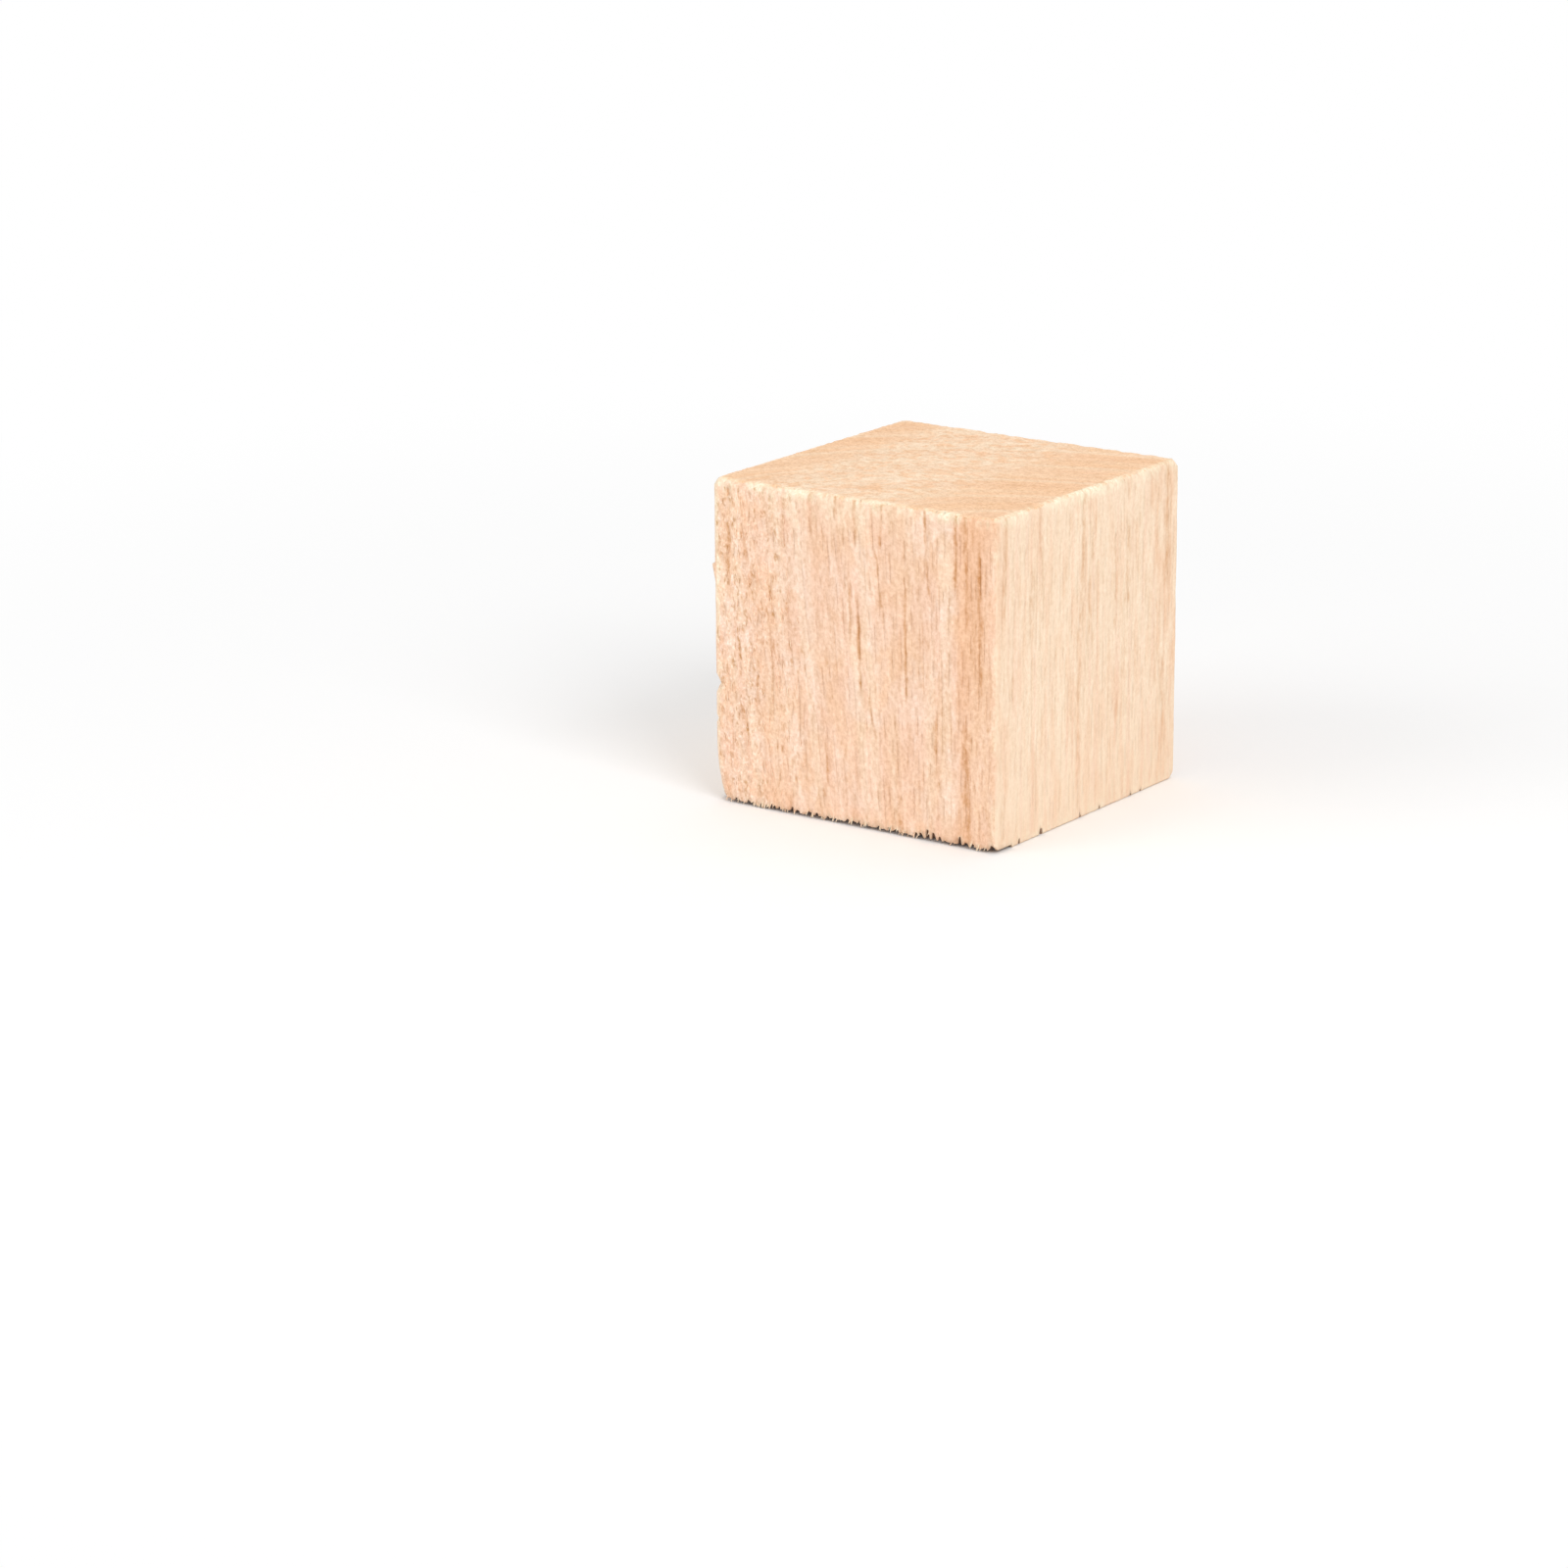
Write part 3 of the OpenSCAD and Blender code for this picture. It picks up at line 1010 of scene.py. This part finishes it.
# Size in millimetres along X, Y and Z, and strength, of the fibres' light and dark
FIBRES = (
    ((0.7, 0.7, 6.5), 0.55),
    ((0.45, 0.45, 1.3), 0.6),
    ((0.18, 0.18, 0.7), 0.2),
    ((0.42, 0.42, 0.5), 0.75),
)

PORE_SHADE = -0.33
RING_LINES = 0.3
STREAK_SHADE = -0.5
STREAK_TINT = 0.5
# How far the painted shade darkens the tear and the nicks
TEAR_SHADE = 0.9
NICK_SHADE = 0.7

ROUGHNESS = 0.65
SPECULAR = 0.2
BUMP_STRENGTH = 0.4
BUMP_HEIGHT = 0.06 * MM


class Wood(Surface):
    """The hardwood. `quarter` is 1 on the left and right sides, `end` on the sawn ends."""

    def __init__(self):
        super().__init__("hardwood", ROUGHNESS, SPECULAR)
        coordinates = self.node("TexCoord").outputs
        self.at = self.vector("MULTIPLY", coordinates["Object"], (1 / MM, 1 / MM, 1 / MM))
        self.place = self.split(self.at)
        self.facing = self.split(coordinates["Normal"])
        self.quarter = self.smooth(self.math("ABSOLUTE", self.facing["X"]), *FACING)
        self.end = self.smooth(self.math("ABSOLUTE", self.facing["Z"]), *FACING)
        self.pore = self.attribute("pore")
        self.torn = self.attribute("torn")
        self.pale = self.attribute("pale")
        self.grain = self.follow_grain()
        self.radius = self.from_pith()
        along = self.vector("DOT_PRODUCT", self.at, ALONG_RINGS)
        self.ring_place = self.join(X=self.radius, Y=along)

    def follow_grain(self):
        """The place, shifted so that noise leans and wanders with the fibres up the cube."""
        slope = self.smooth(self.place["X"], *LEAN_ENDS, LEAN, 0.0)
        shift = self.product(slope, self.place["Z"])
        wander = self.noise(self.at, (9.0, 9.0, 22.0), 1.0)
        shift = self.math("ADD", shift, self.product(wander, 2.0))
        ruffle = self.noise(self.at, (0.8, 0.8, 1.6), 1.0)
        ruffled = self.product(ruffle, self.torn, 0.8)
        return self.vector("ADD", self.at, self.join(X=self.math("ADD", shift, ruffled)))

    def from_pith(self):
        """Distance from the pith, which lies outside the cube, frayed along the grain."""
        across = self.vector("MULTIPLY", self.grain, (1.0, 1.0, 0.0))
        radius = self.vector("DISTANCE", across, (*PITH, 0.0))
        fray = self.product(self.noise(self.at, (0.5, 0.5, 6.0)), 0.5)
        return self.math("ADD", radius, self.math("SUBTRACT", fray, 0.25))

    def rings(self):
        """The dark part of each growth ring, and the pale part beside it."""
        turn = self.math("DIVIDE", self.math("SUBTRACT", self.radius, DARK_RING), RING_PITCH)
        phase = self.math("FRACT", self.math("ADD", turn, 10.5))
        late = self.product(self.smooth(phase, 0.28, 0.42), self.smooth(phase, 0.7, 0.82, 1.0, 0.0))
        early = self.product(self.smooth(phase, 0.8, 0.86), self.smooth(phase, 0.93, 1.0, 1.0, 0.0))
        first = self.smooth(self.radius, DARK_RING + 3.0, DARK_RING + 5.0, 1.0, 0.35)
        lower = self.smooth(self.place["Z"], 10.0, 28.0, 0.55, 1.0)
        beside = self.smooth(self.place["X"], X_RIGHT - 2.6, X_RIGHT - 0.8, 1.0, 0.6)
        round_corner = self.smooth(self.place["Y"], Y_FRONT + 0.55, Y_FRONT + 1.25, 0.9, 0.0)
        seen = self.math("MULTIPLY_ADD", self.quarter, -0.9, 1.0)
        seen = self.math("MAXIMUM", seen, round_corner)
        seen = self.math("MULTIPLY_ADD", self.end, -0.5, seen)
        return self.product(late, first, self.product(lower, beside), seen), early

    def colour(self):
        """The colour before fibres, from the broadest patches to the torn patch and the rims."""
        at, grain, torn, end, quarter = self.at, self.grain, self.torn, self.end, self.quarter
        ring, early = self.rings()
        plain = self.math("SUBTRACT", 1.0, self.math("MAXIMUM", end, quarter))
        long_grain = self.math("SUBTRACT", 1.0, end)
        pale_ring = self.blobs(self.ring_place, (2.4, 30.0, 1.0), 0.44, 0.6, 0.0, 0.2, detail=1.0)
        hue = self.blobs(grain, (0.9, 0.9, 26.0), 0.48, 0.68, 0.0, 0.45)
        broad = self.blobs(grain, (2.2, 2.2, 50.0), 0.45, 0.7, 0.0, 0.45, detail=1.0)
        # Painted shade: the front and back turn darker and more orange within about 4 millimetres
        # of the floor
        low_edge = self.math("ADD", self.place["Z"], self.noise(grain, (1.5, 1.5, 3.0)))
        foot_shade = self.smooth(low_edge, 1.5, 4.0, 0.32, 0.0)
        cloud = self.blobs(grain, (3.0, 3.0, 5.0), 0.48, 0.64, 0.0, 0.5, detail=3.0)
        blotch = self.noise(grain, (0.9, 0.9, 1.5))
        rough = self.blobs(at, (0.45, 0.45, 0.9), 0.35, 0.55, 0.35, 1.0)
        tints = (
            (self.product(end, 0.8), GOLD),
            (self.product(pale_ring, end), CREAM),
            (self.product(quarter, 0.9), CREAM),
            (self.product(hue, quarter), PINK),
            (self.product(broad, long_grain), CREAM),
            (self.product(early, 0.35), CREAM),
            (self.product(foot_shade, plain), ORANGE),
            (self.product(cloud, plain), BLOOM),
            (self.product(self.bands(), quarter), ORANGE),
            (self.product(self.pale_top(), 0.8), CREAM),
            (self.product(self.smooth(blotch, 0.52, 0.66, 0.0, 0.5), torn), BLOOM),
            (self.product(self.smooth(blotch, 0.34, 0.48, 0.35, 0.0), torn), ORANGE),
            (self.torn_strip(), FRESH_AND_HIGHLIGHT),
            (self.product(ring, 0.8), ORANGE),
            # Painted highlight with pale wear on the rounded edges
            (self.product(self.pale, rough), FRESH_AND_HIGHLIGHT),
        )
        colour = self.mix(self.blobs(at, (5.0, 5.0, 8.0), 0.35, 0.65), PEACH, PINK)
        for share, tint in tints:
            colour = self.mix(share, colour, tint)
        return colour

    def bands(self):
        """The warmer bands of the left and right sides, which crowd towards the back."""
        band = self.blobs(self.grain, (1.6, 1.6, 10.0), 0.46, 0.62, 0.0, 0.24)
        back = self.smooth(self.place["Y"], 12.0, 16.0)
        far = self.product(back, self.blobs(self.grain, (1.4, 1.4, 5.0), 0.35, 0.65))
        return self.math("MULTIPLY_ADD", far, 0.25, band)

    def pale_top(self):
        """The paler patch under the middle of the top edge."""
        return self.product(
            self.smooth(self.place["Z"], Z_TOP - 5.4, Z_TOP - 0.9),
            self.smooth(self.place["X"], -16.0, -11.0),
            self.smooth(self.place["X"], 2.0, 12.0, 1.0, 0.0),
            self.blobs(self.grain, (1.2, 1.2, 6.0), 0.35, 0.6),
        )

    def torn_strip(self):
        """The pale strip of the torn patch, along the left edge of the front."""
        wavy = self.math("MULTIPLY_ADD", self.noise(self.at, (0.8, 0.8, 2.0)), 1.6, self.place["X"])
        return self.product(self.smooth(wavy, X_LEFT + 0.8, X_LEFT + 2.0, 0.7, 0.0), self.torn)

    def fibres(self):
        """Light and dark of the fibres, pores and specks, and how much of it each side shows."""
        tone = 0.0
        for size, strength in FIBRES:
            tone = self.math("MULTIPLY_ADD", self.noise(self.grain, size), strength, tone)
        tone = self.math("SUBTRACT", tone, sum(strength for _, strength in FIBRES) / 2)
        tone = self.math("MULTIPLY_ADD", self.pore, PORE_SHADE, tone)
        fleck = self.math("SUBTRACT", self.noise(self.at, (0.22, 0.22, 0.22)), 0.5)
        flecked = self.math("MULTIPLY_ADD", self.end, 1.4, 0.35)
        tone = self.math("MULTIPLY_ADD", fleck, flecked, tone)
        # The torn patch has short dark dashes and pale specks too
        dash = self.blobs(self.grain, (0.4, 0.4, 1.1), 0.56, 0.72, 0.0, -0.45, detail=1.0)
        speck = self.blobs(self.at, (0.3, 0.3, 0.4), 0.5, 0.7, 0.0, 0.3, detail=1.0)
        tone = self.math("MULTIPLY_ADD", self.math("ADD", dash, speck), self.torn, tone)
        settled = self.smooth(self.place["Z"], 3.0, 16.0, -0.7, -0.48)
        calm = self.math("MULTIPLY_ADD", self.end, -0.5, 1.0)
        calm = self.math("MULTIPLY_ADD", self.quarter, settled, calm)
        return self.product(tone, calm), calm

    def listed(self, calm):
        """How strongly the streaks in STREAKS colour the front, and the right side."""
        patchy = self.blobs(self.grain, (0.7, 0.7, 1.4), 0.35, 0.65, 0.25, 1.0)
        patchy = self.product(patchy, calm)
        waver = self.noise(self.at, (1.5, 1.5, 2.5), 1.0)
        waver = self.math("MULTIPLY_ADD", waver, 0.6, -0.3)
        low, high = FACING
        for name, mask, across in (
            ("front", self.smooth(self.facing["Y"], -high, -low, 1.0, 0.0), self.place["X"]),
            ("right", self.smooth(self.facing["X"], low, high), self.place["Y"]),
        ):
            from_left = self.math("SUBTRACT", self.math("ADD", across, waver), LEFT_EDGE[name])
            strength = self.streaks(from_left, STREAKS[name])
            yield self.product(mask, self.product(strength, patchy))

    def streaks(self, across, rows):
        """How strongly the streaks in `rows` colour a place."""
        height = self.place["Z"]
        total = 0.0
        for upper_at, upper, lower_at, lower, width, strength in rows:
            slope = (upper_at - lower_at) / (upper - lower)
            line = self.math("MULTIPLY_ADD", height, slope, lower_at - slope * lower)
            off = self.math("ABSOLUTE", self.math("SUBTRACT", across, line))
            core = self.product(
                self.smooth(off, 0.1 * width, 0.8 * width, strength, 0.0),
                self.smooth(height, lower - 0.8, lower + 1.0),
                self.smooth(height, upper - 1.0, upper + 0.8, 1.0, 0.0),
            )
            total = self.math("MAXIMUM", core, total)
        return total

    def painted_tear_shade(self):
        """1 on the broken wood inside the tear, which is darkened with painted shade."""
        x, y = self.place["X"], self.place["Y"]
        corner = X_LEFT + Y_FRONT
        return self.product(
            self.smooth(y, Y_FRONT + 0.1, Y_FRONT + 0.4),
            self.smooth(y, TEAR_BACK - 0.05, TEAR_BACK - 0.15),
            self.smooth(self.place["Z"], TEAR_TOP - 0.3, TEAR_TOP - 0.5),
            self.smooth(self.math("ABSOLUTE", x), X_RIGHT - 0.2, X_RIGHT - 0.4),
            self.smooth(self.math("ADD", x, y), corner + 2.35, corner + 2.65),
        )

    def painted_nick_shade(self):
        """1 on the walls of the nicks along the foot of the right side, which are darkened with
        painted shade.
        """
        return self.product(
            self.smooth(self.place["X"], X_RIGHT - 0.9, X_RIGHT - 0.7),
            self.smooth(self.place["Z"], 0.9, 0.7),
            self.smooth(self.math("ABSOLUTE", self.facing["Y"]), 0.3, 0.6),
            self.smooth(self.math("ABSOLUTE", self.place["Y"]), Y_BACK - 0.95, Y_BACK - 1.25),
        )


def wood():
    """The wood's colour, lighter and darker with its fibres and streaks, and its bump."""
    g = Wood()
    colour = g.colour()
    relief, calm = g.fibres()
    ring_line = g.math("SUBTRACT", g.noise(g.ring_place, (1.8, 14.0, 1.0)), 0.5)
    tone = g.math("MULTIPLY_ADD", g.product(ring_line, g.end), RING_LINES, relief)
    for streak in g.listed(calm):
        tone = g.math("MULTIPLY_ADD", streak, STREAK_SHADE, tone)
        colour = g.mix(g.product(streak, STREAK_TINT), colour, ORANGE)
    darkest, lightest = TONE_RANGE
    tone = g.math("MAXIMUM", g.math("MINIMUM", tone, lightest), darkest)
    shade = g.vector("MULTIPLY_ADD", g.join(X=tone, Y=tone, Z=tone), TONE, (1, 1, 1))
    colour = g.vector("MULTIPLY", colour, shade)
    # Painted shade: the recesses of the torn foot and of the nicks are darkened almost to black
    colour = g.mix(g.product(g.painted_tear_shade(), TEAR_SHADE), colour, RECESS_SHADE)
    colour = g.mix(g.product(g.painted_nick_shade(), NICK_SHADE), colour, RECESS_SHADE)
    g.put(g.shader.inputs["Base Color"], colour)
    # The bump takes the fibres alone: with the streaks too, the shader grows too big to render
    inputs = {"Height": relief, "Strength": BUMP_STRENGTH, "Distance": BUMP_HEIGHT}
    g.put(g.shader.inputs["Normal"], g.node("Bump", inputs).outputs[0])
    return g.material


# Stage ----------------------------------------

FLOOR_SIZE = 12.0
FLOOR_GREY = 0.85
FLOOR_ROUGHNESS = 0.8
FLOOR_FADE = (0.05, 0.25)


def make_floor():
    """A floor that is white to the eye, keeps the shadow near the cube and has no horizon."""
    bpy.ops.mesh.primitive_plane_add(size=FLOOR_SIZE)
    floor = bpy.context.object
    floor.name = "floor"
    g = Surface("floor", FLOOR_ROUGHNESS, 0.0)
    distance = g.vector("LENGTH", g.node("TexCoord").outputs["Object"])
    seen = g.showing()
    g.put(g.shader.inputs["Base Color"], g.mix(seen, (FLOOR_GREY,) * 3, (1, 1, 1)))
    share = g.product(seen, g.smooth(distance, *FLOOR_FADE))
    white = g.node("Emission", {"Color": (1, 1, 1), "Strength": 1.0})
    mixed = g.node("MixShader", {0: share, 1: g.shader.outputs[0], 2: white.outputs[0]})
    g.put(g.tree.nodes["Material Output"].inputs["Surface"], mixed.outputs[0])
    floor.data.materials.append(g.material)


WORLD_LEVEL = 0.6


def make_world():
    """A white background, and a dimmer even light from all around."""
    world = bpy.data.worlds.new("studio")
    bpy.context.scene.world = world
    g = Graph(world)
    level = g.node("MapRange", {"Value": g.showing(), "To Min": WORLD_LEVEL, "To Max": 1.0})
    background = g.tree.nodes["Background"]
    g.put(background.inputs["Color"], (1, 1, 1))
    g.put(background.inputs["Strength"], level.outputs[0])


# Name, place, width and watts
SOFTBOXES = (
    ("key", (0.9, -0.45, 0.75), 0.6, 5.8),
    ("fill", (-0.6, -1.0, 0.6), 0.8, 3.8),
    ("top", (-0.1, 0.3, 1.3), 0.8, 2.0),
)


def add_softbox(name, at, size, watts):
    """A square lamp that points at the foot of the cube."""
    data = bpy.data.lights.new(name, "AREA")
    data.shape = "SQUARE"
    data.size = size
    data.energy = watts
    light = bpy.data.objects.new(name, data)
    light.location = at
    light.rotation_euler = (-Vector(at)).to_track_quat("-Z", "Y").to_euler()
    light.visible_camera = False
    bpy.context.collection.objects.link(light)


make_camera()
cube = make_cube()
make_floor()
make_world()
for softbox in SOFTBOXES:
    add_softbox(*softbox)

cube.data.materials.append(wood())

bpy.context.scene.view_settings.view_transform = "Standard"
